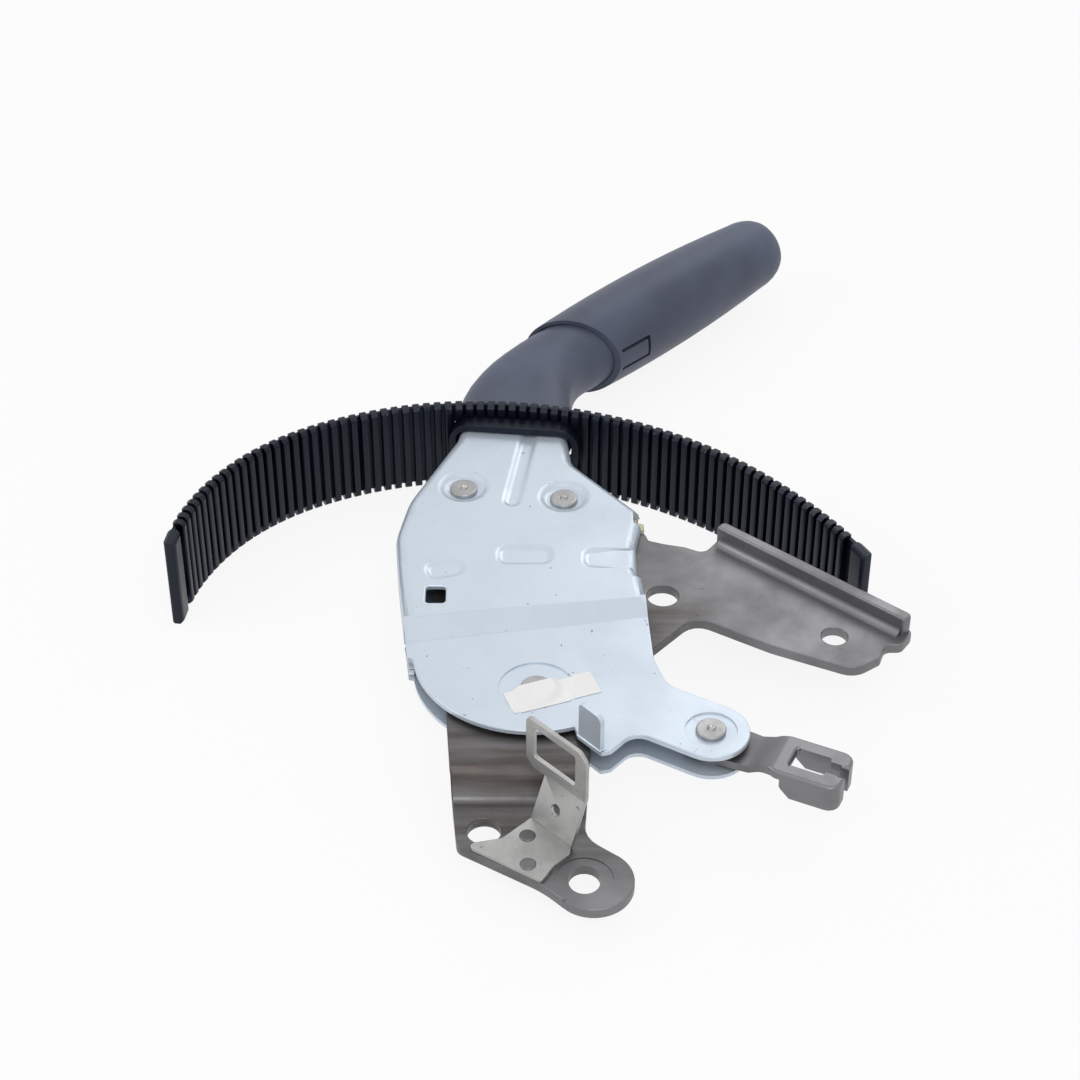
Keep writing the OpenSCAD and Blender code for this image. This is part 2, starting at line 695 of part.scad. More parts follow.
neck_start = [-8.9, 148.4];
neck_heading = 84;
neck_straight = 9.9;
neck_bend_r = 64.2;
neck_half = [22.4, 11.6];
neck_steps = 9;
neck_into_grip = 16;
function neck_pose(t) =
    let (bend = neck_bend_r * (neck_heading - grip_angle) * PI / 180)
    walk(neck_start, neck_heading, [[100000, neck_straight / 100000 * 180 / PI], [neck_bend_r, 90]], -1,
        t * (neck_straight + bend));
function lerp(a, b, t) = a + (b - a) * t;
// Superellipse that grows round towards the grip
function neck_ring(t, wall) =
    let (ease = t * t * (3 - 2 * t), w = neck_pose(t), e = 2 / lerp(3.4, 2, ease))
    let (half_w = lerp(neck_half.x, socket_r - clear, ease) - wall)
    let (half_h = lerp(neck_half.y, socket_r - clear, ease) - wall)
    [for (k = [0 : 31]) let (a = 360 * k / 32, c = cos(a), s = sin(a))
        let (q = half_w * sign(c) * pow(abs(c), e), z = half_h * sign(s) * pow(abs(s), e))
        [w.x + q * sin(w.z), w.y - q * cos(w.z), z]];
function slide_ring(r, d) = [for (p = r) p + [d * grip_dir.x, d * grip_dir.y, 0]];
function neck_rings(wall) = concat(
    [for (i = [0 : neck_steps]) neck_ring(i / neck_steps, wall)],
    [slide_ring(neck_ring(1, wall), neck_into_grip)]
);

module neck_cover() {
    outer = neck_rings(0);
    inner = neck_rings(neck_wall);
    n = len(outer) - 1;
    // One skin: up the outside, over the rim and down the inside, closed at the foot
    color("darkslategray") at_pivot() tube_skin(concat(outer, [for (i = [n : -1 : 0]) inner[i]]));
}

// Closed skin through rings whose last ring joins the first again
module tube_skin(rings) {
    m = len(rings[0]);
    n = len(rings);
    polyhedron(
        points = [for (r = rings) each r],
        faces = concat(
            [for (i = [0 : n - 1], j = [0 : m - 1])
                [i * m + j, ((i + 1) % n) * m + (j + 1) % m, ((i + 1) % n) * m + j]],
            [for (i = [0 : n - 1], j = [0 : m - 1])
                [i * m + j, i * m + (j + 1) % m, ((i + 1) % n) * m + (j + 1) % m]]
        )
    );
}

// Grip: a moulded sleeve with a snap tongue at its mouth and a hole for the button in its end

end_round = 13;
end_lip = 0.6;
belly_at = 0.4;
mouth_slant = 30;
mouth_spare = 12;
button_hole_r = button_d / 2 + clear;
button_seat = 20;
button_dome = 3;
sleeve_len = grip_len - button_dome;
clip_w = 9.5;
clip_start = 11.6;
clip_len = 15.6;
clip_gap = 1.3;
clip_angle = 267;

// Radius along the barrel: a curve through the mouth, the belly and the end
function barrel_r(t) =
    grip_mouth_d / 2 * (t - belly_at) * (t - 1) / belly_at
    - grip_belly_d / 2 * t * (t - 1) / belly_at / (1 - belly_at)
    + grip_end_d / 2 * t * (t - belly_at) / (1 - belly_at);

module grip_sleeve() {
    barrel = sleeve_len - end_round;
    lip_r = button_hole_r + end_lip;
    color("darkslategray") at_pivot() on_grip() difference() {
        rotate_extrude() polygon(concat(
            [[socket_r, -mouth_spare]],
            [for (k = [0 : 10]) let (s = lerp(-mouth_spare, barrel, k / 10)) [barrel_r(s / barrel), s]],
            [for (k = [1 : 6]) let (a = 15 * k) [
                lerp(lip_r, grip_end_d / 2, cos(a)), barrel + end_round * sin(a)]],
            [[button_hole_r, sleeve_len], [button_hole_r, grip_len - button_seat],
             [grip_bore_d / 2, grip_len - button_seat], [grip_bore_d / 2, socket_depth],
             [socket_r, socket_depth]]
        ));
        // The mouth is cut at a slant, to suit the bent neck
        rotate([-mouth_slant, 0, 0]) translate([-40, -40, -80]) cube(80);
        // U-shaped slit that frees the snap tongue
        rotate(clip_angle) translate([0, 0, clip_start]) {
            for (y = [-clip_w / 2, clip_w / 2 - clip_gap])
                translate([0, y, 0]) cube([30, clip_gap, clip_len]);
            translate([0, -clip_w / 2, clip_len - clip_gap]) cube([30, clip_w, clip_gap]);
        }
    }
}

// Release mechanism: button, rod, spring and pawl

spring_turns = 6;
seat_t = 6;
spring_low = tang_len + seat_t;
spring_high = grip_len - button_seat - 2;

module spring_seat() {
    color("whitesmoke") at_pivot() on_grip(tang_len) rotate_extrude()
        translate([rod_d / 2 + 2 * clear, 0]) square([grip_bore_d / 2 - rod_d / 2 - 2 * clear, seat_t]);
}

module release_button() {
    color("black") at_pivot() on_grip() difference() {
        rotate_extrude() polygon(concat(
            [[0, spring_high], [button_d / 2, spring_high]],
            [for (a = [0 : 18 : 90]) [button_d / 2 * cos(a), sleeve_len - 0.4 + (button_dome + 0.4) * sin(a)]]
        ));
        translate([0, 0, spring_high - 1]) cylinder(d = rod_d, h = rod_grip + 1);
    }
}

rod_grip = 10;
rod_z = plate_top + clear + rod_d / 2;
tail_eye = pawl_pin + pawl_tail * [-grip_dir.x, grip_dir.y];
tail_eye_r = rod_d / 2 + 0.9;

// Round bar along a list of points, as rings that halve each bend
function bar_rings(path, d, sides) = [
    for (i = [0 : len(path) - 1])
        let (back = i > 0 ? unit(path[i] - path[i - 1]) : unit(path[1] - path[0]))
        let (ahead = i < len(path) - 1 ? unit(path[i + 1] - path[i]) : back, t = unit(back + ahead))
        let (u = unit(cross(bar_side, t)), v = cross(t, u), stretch = 1 / sqrt((1 + back * ahead) / 2))
        [for (k = [0 : sides - 1]) let (b = 360 * k / sides)
            path[i] + d / 2 * (stretch * cos(b) * u - sin(b) * v)]
];
bar_side = [0.87, -0.5, 0];

module release_rod() {
    axis_in = grip_mouth - 4 * grip_dir;
    rod_end = grip_mouth + (spring_high + rod_grip) * grip_dir;
    bend = 2;
    color("silver") at_pivot() skin(bar_rings([
        [tail_eye.x, tail_eye.y, -plate_top - clear], [tail_eye.x, tail_eye.y, rod_z - bend],
        [tail_eye.x, tail_eye.y + bend, rod_z], [tail_eye.x, 140, rod_z], [-2, 152, 0.85 * rod_z],
        [-2.6, 166, rod_z / 2], [1, 181, 0.2 * rod_z], [axis_in.x, axis_in.y, 0], [rod_end.x, rod_end.y, 0]
    ], rod_d, 12));
}

module button_spring() {
    sides = 6;
    per_turn = 12;
    count = spring_turns * per_turn;
    rise = spring_high - spring_low - spring_wire - 2 * 0.05;
    first_z = spring_low + 0.05 + spring_wire / 2;
    rings = [for (i = [0 : count]) let (a = 360 * i / per_turn, z = first_z + rise * i / count)
        [for (k = [0 : sides - 1]) let (b = 360 * k / sides, r = spring_d / 2 + spring_wire / 2 * cos(b))
            [r * cos(a), r * sin(a), z - spring_wire / 2 * sin(b)]]];
    color("silver") at_pivot() on_grip() skin(rings);
}

nose_play = 1.1;

// Pawl, drawn dropped into the first gullet and then lifted clear about its pin
module pawl() {
    boss_r = sleeve_d / 2 + 3;
    nose = first_gullet + 0.5;
    heel = nose + 0.69 * tooth_pitch;
    tail = spin_about(tail_eye, pawl_pin, -pawl_lift);
    tail_r = tail_eye_r + 2.4;
    out = tail_r * unit(tail - pawl_pin);
    side = turn(out, 90);
    color("darkgoldenrod") at_pivot() at(pawl_pin) rotate(pawl_lift) at(-pawl_pin) difference() {
        translate([0, 0, -plate_top]) linear_extrude(plate_t) polygon(rounded([
            polar(root_r + nose_play, nose), polar(rim_r + 3.5, nose),
            concat(pawl_pin + polar(boss_r + 3, 35), 8),
            concat(tail + out - side, 0.9 * tail_r), concat(tail + out + side, 0.9 * tail_r),
            concat(pawl_pin + polar(boss_r + 1.6, 216), 8), polar(rim_r + 2, heel),
            polar(root_r + nose_play, nose + 0.12 * tooth_pitch)
        ], 6));
        at(pawl_pin, -plate_t) cylinder(d = sleeve_d + 2 * running, h = 2 * plate_t);
        at(tail, -plate_t) cylinder(r = tail_eye_r, h = 2 * plate_t);
    }
}

// Cable link: an eye on the lever's ear and a boxed head that holds the cable's nipple

link_turn = -25;
eye_r = 9;
ramp = [16, 24];
head_start = 27;
nipple = [12, 8.6];
nipple_start = 28.5;
nipple_end = nipple_start + nipple.x;
throat = 5.2;

module cable_link() {
    rise = link_h / 2 - link_t / 2;
    half = link_w / 2;
    color("gray") at_pivot() at(link_pin) rotate(link_turn) difference() {
        union() {
            intersection() {
                translate([0, 0, -link_h]) linear_extrude(2 * link_h) {
                    circle(eye_r);
                    polygon(rounded([
                        [0, -eye_r + 1, 0], [12, -7.4, 10], [20, -6.6, 5], [25.5, -half, 4],
                        [link_len, -half, 4], [link_len, half, 4], [25, half, 4], [20, 7.6, 5],
                        [12, 8.4, 10], [0, eye_r, 0]
                    ]));
                }
                rotate([90, 0, 0]) translate([0, 0, -20]) linear_extrude(40) polygon([
                    [-20, -link_t / 2], [ramp[0], -link_t / 2], [ramp[1], rise - link_t / 2],
                    [link_len, rise - link_t / 2], [link_len, rise + link_t / 2],
                    [ramp[1] - 0.6, rise + link_t / 2], [ramp[0] - 0.6, link_t / 2], [-20, link_t / 2]
                ]);
            }
            // Side walls and end wall, folded down from the top
            translate([0, 0, -link_h / 2]) linear_extrude(link_h) difference() {
                polygon(rounded([
                    [head_start, -half, 1], [link_len, -half, 4], [link_len, half, 4], [head_start, half, 1]
                ]));
                polygon(rounded([
                    [head_start - 1, -half + link_t, 0], [link_len - link_t, -half + link_t, 1.2],
                    [link_len - link_t, half - link_t, 1.2], [head_start - 1, half - link_t, 0]
                ]));
            }
        }
        translate([0, 0, -20]) cylinder(d = rivet_d + 2 * running, h = 40);
        // The side walls grow out of the web at a slant
        rotate([90, 0, 0]) translate([0, 0, -20]) linear_extrude(40) polygon([
            [head_start - 2, 1], [head_start + 5, -link_h / 2 - 1], [head_start - 2, -link_h / 2 - 1]
        ]);
        // Window for the nipple, its throat and the slit for the cable
        translate([0, 0, -link_h]) linear_extrude(2 * link_h) {
            translate([nipple_start + nipple.x / 2, 0]) rounded_rect(nipple.x, nipple.y, 1);
            translate([nipple_end - 1, -throat / 2]) square([link_len - link_t - nipple_end + 1, throat]);
            translate([link_len - link_t - 1, -cable_slit / 2]) square([link_t + 2, cable_slit]);
        }
    }
}

base_bracket();
switch_bracket();
switch_rivets();
pivot_bush();
pivot_washers();
upper_shell();
lower_shell();
pivot_rivet();
neck_rivets();
neck_sleeves();
link_rivet();
link_washers();
stop_buffer();
slot_cover();
slot_collar();
neck_cover();
grip_sleeve();
spring_seat();
pawl();
release_button();
release_rod();
button_spring();
cable_link();
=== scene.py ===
import json
import math

import bmesh
import bpy
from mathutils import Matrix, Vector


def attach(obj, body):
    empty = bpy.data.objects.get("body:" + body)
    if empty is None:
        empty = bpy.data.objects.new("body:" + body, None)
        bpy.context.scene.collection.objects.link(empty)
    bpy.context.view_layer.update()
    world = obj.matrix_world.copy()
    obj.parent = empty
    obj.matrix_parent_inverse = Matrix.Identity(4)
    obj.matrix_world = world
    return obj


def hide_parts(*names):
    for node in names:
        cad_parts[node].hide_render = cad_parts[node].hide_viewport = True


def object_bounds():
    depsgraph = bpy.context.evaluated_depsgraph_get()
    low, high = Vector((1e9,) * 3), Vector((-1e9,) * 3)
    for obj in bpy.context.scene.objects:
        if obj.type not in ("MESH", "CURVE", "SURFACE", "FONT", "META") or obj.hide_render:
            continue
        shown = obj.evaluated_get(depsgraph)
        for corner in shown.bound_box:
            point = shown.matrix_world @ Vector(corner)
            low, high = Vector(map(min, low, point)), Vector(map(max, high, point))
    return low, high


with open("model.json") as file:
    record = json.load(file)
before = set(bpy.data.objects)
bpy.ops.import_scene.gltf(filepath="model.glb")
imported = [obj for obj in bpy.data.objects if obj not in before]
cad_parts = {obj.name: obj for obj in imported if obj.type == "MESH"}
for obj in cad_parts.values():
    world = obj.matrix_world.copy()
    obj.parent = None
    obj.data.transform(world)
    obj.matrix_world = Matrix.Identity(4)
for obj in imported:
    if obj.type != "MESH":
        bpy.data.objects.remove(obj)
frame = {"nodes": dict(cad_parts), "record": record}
cad_low, cad_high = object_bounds()
bpy.ops.object.select_all(action="DESELECT")

# Bracket: one thick rolled plate, blanked and pressed, with the foot stepped down and a flange
# turned up along the arm. It is tumbled so that the sheared edges lose their burr, and left bare
# with darker clouds of stain, and brown streaks of painted shade round the pivot, under the lever.
mm = 0.001
joints = {joint["name"]: joint for joint in frame["record"]["behaviour"]["joints"]}
pivot = joints["lever_pivot"]["pos_m"]
plate_colour = (0.212, 0.212, 0.224, 1)
plate_stain = (0.128, 0.124, 0.126, 1)
speck_colour = (0.03, 0.028, 0.027, 1)
rolling_direction = math.radians(35)
rolling_strength = 0.02
# Painted shade: the brown colour, and the distances from the pivot within which the plate is darkened
# where the lever shades it.
rolling_depth = 0.2 * mm
painted_shade_colour = (0.055, 0.044, 0.037, 1)
painted_shade_inner = 50 * mm
painted_shade_outer = 86 * mm


def effect_group(name, inputs):
    """An empty node group with its inputs, which is to put out a colour, a roughness and a height."""
    group = bpy.data.node_groups.new(name, "ShaderNodeTree")
    for socket, value in inputs.items():
        kind = "NodeSocketColor" if isinstance(value, tuple) else "NodeSocketFloat"
        group.interface.new_socket(name=socket, in_out="INPUT", socket_type=kind).default_value = value
    group.interface.new_socket(name="Colour", in_out="OUTPUT", socket_type="NodeSocketColor")
    group.interface.new_socket(name="Roughness", in_out="OUTPUT", socket_type="NodeSocketFloat")
    group.interface.new_socket(name="Height", in_out="OUTPUT", socket_type="NodeSocketFloat")
    return group, group.nodes.new("NodeGroupInput"), group.nodes.new("NodeGroupOutput")


def sheet_patina():
    """Node group: cloudy colour, fine rolling streaks and scattered dark specks on sheet metal."""
    group, into, out = effect_group("sheet_patina", {
        "Clean": (0.5, 0.5, 0.5, 1),
        "Stain": (0.2, 0.2, 0.2, 1),
        "Cloud Scale": 45.0,
        "Cloud Amount": 0.6,
        "Speck Scale": 420.0,
        "Speck Limit": 0.72,
        "Roughness": 0.4,
    })
    nodes, links = group.nodes, group.links
    place = nodes.new("ShaderNodeTexCoord")

    cloud = nodes.new("ShaderNodeTexNoise")
    cloud.inputs["Detail"].default_value = 6
    cloud.inputs["Roughness"].default_value = 0.62
    links.new(place.outputs["Object"], cloud.inputs["Vector"])
    links.new(into.outputs["Cloud Scale"], cloud.inputs["Scale"])
    spread = nodes.new("ShaderNodeMapRange")
    spread.inputs["From Min"].default_value = 0.42
    spread.inputs["From Max"].default_value = 0.72
    links.new(cloud.outputs["Fac"], spread.inputs["Value"])
    share = nodes.new("ShaderNodeMath")
    share.operation = "MULTIPLY"
    links.new(spread.outputs["Result"], share.inputs[0])
    links.new(into.outputs["Cloud Amount"], share.inputs[1])
    tint = nodes.new("ShaderNodeMix")
    tint.data_type = "RGBA"
    links.new(share.outputs[0], tint.inputs["Factor"])
    links.new(into.outputs["Clean"], tint.inputs["A"])
    links.new(into.outputs["Stain"], tint.inputs["B"])

    speck = nodes.new("ShaderNodeTexNoise")
    speck.inputs["Detail"].default_value = 1
    links.new(place.outputs["Object"], speck.inputs["Vector"])
    links.new(into.outputs["Speck Scale"], speck.inputs["Scale"])
    full_speck = nodes.new("ShaderNodeMath")
    full_speck.inputs[1].default_value = 0.05
    links.new(into.outputs["Speck Limit"], full_speck.inputs[0])
    dots = nodes.new("ShaderNodeMapRange")
    dots.inputs["To Max"].default_value = 0.6
    links.new(speck.outputs["Fac"], dots.inputs["Value"])
    links.new(into.outputs["Speck Limit"], dots.inputs["From Min"])
    links.new(full_speck.outputs[0], dots.inputs["From Max"])
    dotted = nodes.new("ShaderNodeMix")
    dotted.data_type = "RGBA"
    dotted.inputs["B"].default_value = speck_colour
    links.new(dots.outputs["Result"], dotted.inputs["Factor"])
    links.new(tint.outputs["Result"], dotted.inputs["A"])
    links.new(dotted.outputs["Result"], out.inputs["Colour"])

    rough = nodes.new("ShaderNodeMath")
    rough.operation = "MULTIPLY_ADD"
    rough.inputs[1].default_value = 0.16
    links.new(spread.outputs["Result"], rough.inputs[0])
    links.new(into.outputs["Roughness"], rough.inputs[2])
    links.new(rough.outputs[0], out.inputs["Roughness"])

    rolled = nodes.new("ShaderNodeMapping")
    rolled.inputs["Scale"].default_value = (220, 2600, 900)
    rolled.inputs["Rotation"].default_value = (0, 0, rolling_direction)
    links.new(place.outputs["Object"], rolled.inputs["Vector"])
    streak = nodes.new("ShaderNodeTexNoise")
    streak.inputs["Scale"].default_value = 1
    streak.inputs["Detail"].default_value = 3
    links.new(rolled.outputs["Vector"], streak.inputs["Vector"])
    links.new(streak.outputs["Fac"], out.inputs["Height"])
    return group


patina = sheet_patina()


def dressed_surface(name, group, values, strength, depth):
    """A material whose colour, roughness and bump come from a node group with its own values."""
    material = bpy.data.materials.new(name)
    material.use_nodes = True
    nodes, links = material.node_tree.nodes, material.node_tree.links
    surface = nodes["Principled BSDF"]
    effect = nodes.new("ShaderNodeGroup")
    effect.node_tree = group
    for socket, value in values.items():
        effect.inputs[socket].default_value = value
    links.new(effect.outputs["Colour"], surface.inputs["Base Color"])
    links.new(effect.outputs["Roughness"], surface.inputs["Roughness"])
    bump = nodes.new("ShaderNodeBump")
    bump.inputs["Strength"].default_value = strength
    bump.inputs["Distance"].default_value = depth
    links.new(effect.outputs["Height"], bump.inputs["Height"])
    links.new(bump.outputs["Normal"], surface.inputs["Normal"])
    return material


def sheet_metal(name, clean, stain, metallic, roughness, cloud, amount=0.6, speck=420.0, limit=0.74):
    """Material of one sheet or plate finish: the patina group on a metal surface."""
    values = {
        "Clean": clean,
        "Stain": stain,
        "Cloud Scale": cloud,
        "Cloud Amount": amount,
        "Speck Scale": speck,
        "Speck Limit": limit,
        "Roughness": roughness,
    }
    material = dressed_surface(name, patina, values, rolling_strength, rolling_depth)
    material.node_tree.nodes["Principled BSDF"].inputs["Metallic"].default_value = metallic
    return material


def pivot_painted_shade(material):
    """Paint shade round the pivot: darken a material in brown streaks near the pivot, where the lever
    shades the plate.
    """
    nodes, links = material.node_tree.nodes, material.node_tree.links
    place = nodes.new("ShaderNodeTexCoord")
    away = nodes.new("ShaderNodeVectorMath")
    away.operation = "DISTANCE"
    away.inputs[1].default_value = pivot
    links.new(place.outputs["Object"], away.inputs[0])
    fade = nodes.new("ShaderNodeMapRange")
    fade.inputs["From Min"].default_value = painted_shade_outer
    fade.inputs["From Max"].default_value = painted_shade_inner
    links.new(away.outputs["Value"], fade.inputs["Value"])
    stretch = nodes.new("ShaderNodeMapping")
    stretch.inputs["Scale"].default_value = (18, 210, 210)
    links.new(place.outputs["Object"], stretch.inputs["Vector"])
    shade_streak_noise = nodes.new("ShaderNodeTexNoise")
    shade_streak_noise.inputs["Scale"].default_value = 1
    shade_streak_noise.inputs["Detail"].default_value = 4
    links.new(stretch.outputs["Vector"], shade_streak_noise.inputs["Vector"])
    streak = nodes.new("ShaderNodeMapRange")
    streak.inputs["From Min"].default_value = 0.3
    streak.inputs["From Max"].default_value = 0.7
    streak.inputs["To Min"].default_value = 0.35
    links.new(shade_streak_noise.outputs["Fac"], streak.inputs["Value"])
    share = nodes.new("ShaderNodeMath")
    share.operation = "MULTIPLY"
    links.new(fade.outputs["Result"], share.inputs[0])
    links.new(streak.outputs["Result"], share.inputs[1])
    painted_shade_mix = nodes.new("ShaderNodeMix")
    painted_shade_mix.data_type = "RGBA"
    painted_shade_mix.inputs["B"].default_value = painted_shade_colour
    links.new(share.outputs[0], painted_shade_mix.inputs["Factor"])
    surface = nodes["Principled BSDF"]
    links.new(surface.inputs["Base Color"].links[0].from_socket, painted_shade_mix.inputs["A"])
    links.new(painted_shade_mix.outputs["Result"], surface.inputs["Base Color"])


rolled_plate = sheet_metal("rolled_plate", plate_colour, plate_stain, 0.85, 0.36, cloud=38.0, limit=0.76)
# Painted shade: darken the plate in brown streaks round the pivot, where the lever shades it.
pivot_painted_shade(rolled_plate)

weld = 0.002 * mm
flat = math.radians(0.4)
crease = math.radians(18)
shading_crease = math.radians(38)


def select_alone(piece):
    """Select one piece and nothing else, and make it the active one."""
    bpy.ops.object.select_all(action="DESELECT")
    piece.select_set(True)
    bpy.context.view_layer.objects.active = piece


def modify(piece, kind, **settings):
    """Add a modifier to the active piece, set it and apply it."""
    bpy.ops.object.modifier_add(type=kind)
    modifier = piece.modifiers[-1]
    for name, value in settings.items():
        setattr(modifier, name, value)
    bpy.ops.object.modifier_apply(modifier=modifier.name)


def pick(piece, kind, chosen):
    """Select the corners, edges or faces of a piece that pass a test, in edit mode."""
    bpy.ops.mesh.select_mode(type=kind)
    bpy.ops.mesh.select_all(action="DESELECT")
    edit = bmesh.from_edit_mesh(piece.data)
    for item in {"VERT": edit.verts, "EDGE": edit.edges, "FACE": edit.faces}[kind]:
        item.select = chosen(item)
    edit.select_flush_mode()
    bmesh.update_edit_mesh(piece.data)


def near(point, spot, reach):
    """Whether a point lies within reach of a spot, seen from above."""
    return math.hypot(point.x - spot[0], point.y - spot[1]) < reach


def turns(edge, degrees):
    """Whether the faces at an edge meet at more than an angle."""
    return edge.calc_face_angle(0) > math.radians(degrees)


def round_edges(piece, radius, segments, chosen):
    """Round the creases of a piece that pass a test of the edge and its middle."""
    bpy.ops.object.mode_set(mode="EDIT")
    pick(piece, "EDGE", lambda edge: edge.calc_face_angle(0) > crease and chosen(
        edge, (edge.verts[0].co + edge.verts[1].co) / 2
    ))
    bpy.ops.mesh.bevel(offset=radius, segments=segments, affect="EDGES", clamp_overlap=False)
    bpy.ops.object.mode_set(mode="OBJECT")


def finished(
    node, body, material, radius=0, segments=2, sharp=28, pressed=None, rounds=(), joined=None
):
    """A copy of a CAD node, pressed, rounded at its edges and joined, which stands for the node."""
    piece = frame["nodes"][node].copy()
    piece.data = piece.data.copy()
    piece.name = node + "_finished"
    piece.parent = None
    bpy.context.collection.objects.link(piece)
    select_alone(piece)
    bpy.ops.object.mode_set(mode="EDIT")
    bpy.ops.mesh.select_all(action="SELECT")
    bpy.ops.mesh.remove_doubles(threshold=weld)
    bpy.ops.mesh.dissolve_limited(angle_limit=flat)
    bpy.ops.object.mode_set(mode="OBJECT")
    if pressed:
        pressed(piece)
    for round_radius, round_segments, chosen in rounds:
        round_edges(piece, round_radius, round_segments, chosen)
    if joined:
        joined(piece)
    if radius:
        modify(
            piece, "BEVEL", width=radius, segments=segments, limit_method="ANGLE",
            angle_limit=math.radians(sharp), miter_outer="MITER_ARC"
        )
    bpy.ops.object.mode_set(mode="EDIT")
    bpy.ops.mesh.select_all(action="SELECT")
    bpy.ops.mesh.dissolve_degenerate(threshold=weld)
    bpy.ops.object.mode_set(mode="OBJECT")
    bpy.ops.object.shade_smooth_by_angle(angle=shading_crease)
    modify(piece, "WEIGHTED_NORMAL", keep_sharp=True)
    piece.data.materials.clear()
    piece.data.materials.append(material)
    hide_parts(node)
    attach(piece, body)
    return piece


foot_slot = (-87 * mm, -104 * mm)
seat_reach = 10 * mm
shell_half_width = 38 * mm
above_plate = 3 * mm
above_bend = 6 * mm
bend_r = 3 * mm
bend_sunk = 0.4 * mm
flange_len = 77 * mm
flange_root = (-7.2 * mm, 25.7 * mm, 2 * mm)
flange_turn = math.radians(140.3)
inward = (-math.sin(flange_turn), math.cos(flange_turn), 1)


def on_open_plate(edge, middle):
    """Edges of the plate in the open, away from the washer seat and the teeth under the shells."""
    hidden = abs(middle.x - pivot[0]) < shell_half_width and middle.y > 0
    cut = edge.is_convex and turns(edge, 60)
    return cut and middle.z < above_plate and not hidden and not near(middle, foot_slot, seat_reach)


def on_flange(edge, middle):
    """Upper edges of the turned-up flange."""
    return edge.is_convex and middle.z > above_bend and turns(edge, 60)


def bend_flange(piece):
    """Fill the inside corner of the flange to the radius that the plate was turned up with."""
    bpy.ops.object.select_all(action="DESELECT")
    bpy.ops.mesh.primitive_cube_add(
        size=1, rotation=(0, 0, flange_turn),
        location=[r + i * (bend_r - bend_sunk) / 2 for r, i in zip(flange_root, inward)],
    )
    fillet = bpy.context.object
    fillet.scale = (flange_len, bend_r + bend_sunk, bend_r + bend_sunk)
    bpy.ops.object.transform_apply(location=True, rotation=True, scale=True)
    bpy.ops.mesh.primitive_cylinder_add(
        vertices=48, radius=bend_r, depth=2 * flange_len, rotation=(0, math.pi / 2, flange_turn),
        location=[r + i * bend_r for r, i in zip(flange_root, inward)],
    )
    former = bpy.context.object
    for body, tool, operation in ((fillet, former, "DIFFERENCE"), (piece, fillet, "UNION")):
        bpy.context.view_layer.objects.active = body
        modify(body, "BOOLEAN", object=tool, operation=operation)
        bpy.data.objects.remove(tool)
    select_alone(piece)


finished(
    "base_bracket", "bracket", rolled_plate,
    rounds=[(0.9 * mm, 4, on_flange), (0.5 * mm, 3, on_open_plate)], joined=bend_flange
)

# Switch bracket: thin strip, cut and bent, and clinched to the foot by two buttons of the plate's
# own steel. It is brighter than the plate because the strip is plated before it is pressed.
strip_colour = (0.44, 0.44, 0.435, 1)
strip_stain = (0.26, 0.25, 0.24, 1)
bright_strip = sheet_metal("bright_strip", strip_colour, strip_stain, 0.85, 0.33, cloud=70.0)
shortest_edge = 0.3 * mm


def on_strip_edge(edge, middle):
    """Sheared edges of the thin strip."""
    return edge.is_convex and turns(edge, 70) and edge.calc_length() > shortest_edge


finished(
    "switch_bracket", "bracket", bright_strip, rounds=[(0.25 * mm, 2, on_strip_edge)]
)
finished("switch_rivets", "bracket", rolled_plate, 0.2 * mm)

# Pivot bush: sintered bronze, soaked with oil and pressed into the plate. The lever's pivot rivet
# turns in it.
bronze_colour = (0.50, 0.33, 0.14, 1)
bronze_stain = (0.30, 0.19, 0.08, 1)
bronze = sheet_metal("sintered_bronze", bronze_colour, bronze_stain, 0.9, 0.42, cloud=200.0)


def coat(node, material):
    """Give a CAD node, which is shown as it is, its material."""
    mesh = frame["nodes"][node].data
    mesh.materials.clear()
    mesh.materials.append(material)


coat("pivot_bush", bronze)

# Lever shells: two mirrored pressings of zinc-plated sheet, folded at the edges and riveted
# together over the plate. The plating is pale and bluish, with fine dark specks where grit has
# marked it.
zinc_colour = (0.59, 0.665, 0.75, 1)
zinc_stain = (0.48, 0.545, 0.62, 1)
zinc = sheet_metal(
    "zinc_plate", zinc_colour, zinc_stain, 0.4, 0.29, cloud=30.0, amount=0.5, speck=520.0, limit=0.755
)
same_height = 0.05 * mm
shell_top = 7.8 * mm
flat_top = 5.1 * mm
shell_weld = 0.02 * mm
pawl_pin = joints["pawl_lift"]["pos_m"]
rear_rivet = (-128.7 * mm, 76.2 * mm)
dish_reach = 9.6 * mm
bead_right = -72 * mm
bead_floor = 6.9 * mm
bead_slope = 1.6 * mm
bead_area = 80 * mm * mm
facing_out = 0.99
joggle_turn = math.radians(8)
joggle_from = 30 * mm
joggle_to = 38 * mm
joggle_edge = 6 * mm
link_pin = joints["link_swing"]["pos_m"]
pivot_ring = 14 * mm
link_ring = 10 * mm


def at(height, level):
    """Whether a height above or below the plate is that of a level of the shells."""
    return abs(abs(height) - level) < same_height


def on_joggle(edge, middle):
    """Crease lines where the flat end steps up to the body."""
    right, up = middle.x - pivot[0], middle.y - pivot[1]
    along = math.cos(joggle_turn) * up - math.sin(joggle_turn) * right
    raised = abs(middle.z) > flat_top - same_height
    return raised and joggle_from < along < joggle_to and edge.calc_length() > joggle_edge


def on_dish(edge, middle):
    """Upper rim of the dishes round the body rivets."""
    dished = near(middle, rear_rivet, dish_reach) or near(middle, pawl_pin, dish_reach)
    return at(middle.z, shell_top) and dished


def on_bead(edge, middle):
    """Upper and lower edges of the stiffening beads, and the upper edge of the drain hole."""
    bent = at(middle.z, shell_top) or at(middle.z, bead_floor)
    return bent and not on_dish(edge, middle) and middle.x < bead_right


def on_cut_edge(edge, middle):
    """Sheared outline of the flat end."""
    ring = near(middle, pivot, pivot_ring) or near(middle, link_pin, link_ring)
    return at(middle.z, flat_top) and turns(edge, 40) and not ring


